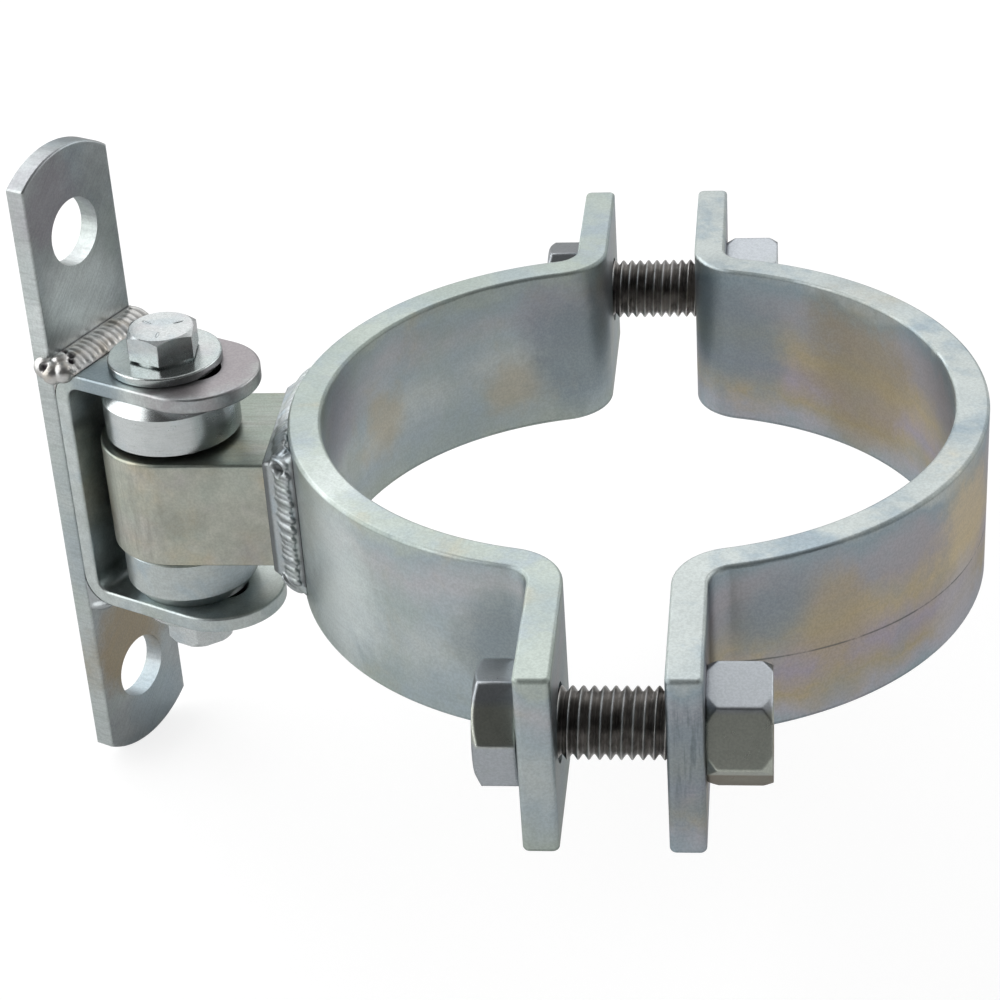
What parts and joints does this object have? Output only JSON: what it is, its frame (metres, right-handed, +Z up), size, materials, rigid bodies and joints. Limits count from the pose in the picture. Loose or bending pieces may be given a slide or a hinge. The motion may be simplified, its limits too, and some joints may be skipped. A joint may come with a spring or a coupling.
{
  "type": "bolt-on gate hinge",
  "caption": "Zinc-plated steel gate hinge: slotted bracket on a bolt-on plate, bearing knuckle on a pivot bolt, and a split band clamp drawn round a post by bolts.",
  "frame": {"origin": "middle of the mounting plate's two bolt holes, on the plate's back face", "axes": "+X out of the plate towards the pivot, +Z up along the pivot bolt, +Y across the plate"},
  "size_m": [0.214, 0.2353, 0.171],
  "materials": {
    "plated_bar": "bright zinc plate with faint iridescent clouds on rolled flat bar",
    "plated_link": "satin zinc plate, brushed along the link on its end faces",
    "weld_bead": "rippled weld bead under zinc plate",
    "turned_collar": "fine turned steel under zinc plate",
    "plated_fastener": "zinc-plated fastener",
    "clamp_bolt_steel": "plated bolt with a dark oiled thread",
    "bearing_steel": "ground bearing steel",
    "bearing_cage_brass": "machined cage",
    "seal_rubber": "matt seal rubber"
  },
  "bodies": {
    "bracket": {"mounting_plate": "plated_bar", "hinge_bracket": "plated_bar", "upper_bracket_weld": "weld_bead", "lower_bracket_weld": "weld_bead"},
    "pivot_set": {"pivot_bolt": "plated_fastener", "pivot_nut": "plated_fastener", "pivot_sleeve": "bearing_steel", "upper_pivot_washer": "plated_fastener", "upper_collar": "turned_collar", "upper_bearing_inner_race": "bearing_steel", "lower_pivot_washer": "plated_fastener", "lower_collar": "turned_collar", "lower_bearing_inner_race": "bearing_steel"},
    "upper_ball_set": {"upper_bearing_balls": "bearing_steel", "upper_bearing_cage": "bearing_cage_brass"},
    "lower_ball_set": {"lower_bearing_balls": "bearing_steel", "lower_bearing_cage": "bearing_cage_brass"},
    "knuckle": {"link": "plated_link", "link_weld": "weld_bead", "fixed_clamp_half": "plated_bar", "front_clamp_bolt": "clamp_bolt_steel", "back_clamp_bolt": "clamp_bolt_steel", "upper_bearing_outer_race": "bearing_steel", "upper_bearing_outer_seal": "seal_rubber", "upper_bearing_inner_seal": "seal_rubber", "lower_bearing_outer_race": "bearing_steel", "lower_bearing_outer_seal": "seal_rubber", "lower_bearing_inner_seal": "seal_rubber"},
    "loose_clamp": {"loose_clamp_half": "plated_bar"},
    "front_nut": {"front_clamp_nut": "plated_fastener"},
    "back_nut": {"back_clamp_nut": "plated_fastener"}
  },
  "joints": [
    {"name": "slot_slide", "type": "slide", "parent": "bracket", "child": "pivot_set", "axis": [1, 0, 0], "range_m": [0, 0.0095]},
    {"name": "swing", "type": "hinge", "parent": "pivot_set", "child": "knuckle", "pos_m": [0.028, 0, 0], "axis": [0, 0, 1], "range_deg": [-116, 64]},
    {"name": "clamp_close", "type": "slide", "parent": "knuckle", "child": "loose_clamp", "axis": [-0.8988, -0.4384, 0], "range_m": [0, 0.0127]},
    {"name": "front_nut_turn", "type": "hinge", "parent": "loose_clamp", "child": "front_nut", "pos_m": [0.19328, -0.03393, 0], "axis": [-0.8988, -0.4384, 0], "range_deg": [0, 1981]},
    {"name": "back_nut_turn", "type": "hinge", "parent": "loose_clamp", "child": "back_nut", "pos_m": [0.10302, 0.15113, 0], "axis": [-0.8988, -0.4384, 0], "range_deg": [0, 1981]},
    {"name": "upper_ball_orbit", "type": "hinge", "parent": "pivot_set", "child": "upper_ball_set", "pos_m": [0.028, 0, 0], "axis": [0, 0, 1], "range_deg": [-67.9, 37.7]},
    {"name": "lower_ball_orbit", "type": "hinge", "parent": "pivot_set", "child": "lower_ball_set", "pos_m": [0.028, 0, 0], "axis": [0, 0, 1], "range_deg": [-67.9, 37.7]}
  ],
  "couplings": [
    {"joint": "front_nut_turn", "follows": "clamp_close", "rad_per_m": 2721.1},
    {"joint": "back_nut_turn", "follows": "clamp_close", "rad_per_m": 2721.1},
    {"joint": "upper_ball_orbit", "follows": "swing", "ratio": 0.5814},
    {"joint": "lower_ball_orbit", "follows": "swing", "ratio": 0.5814}
  ]
}
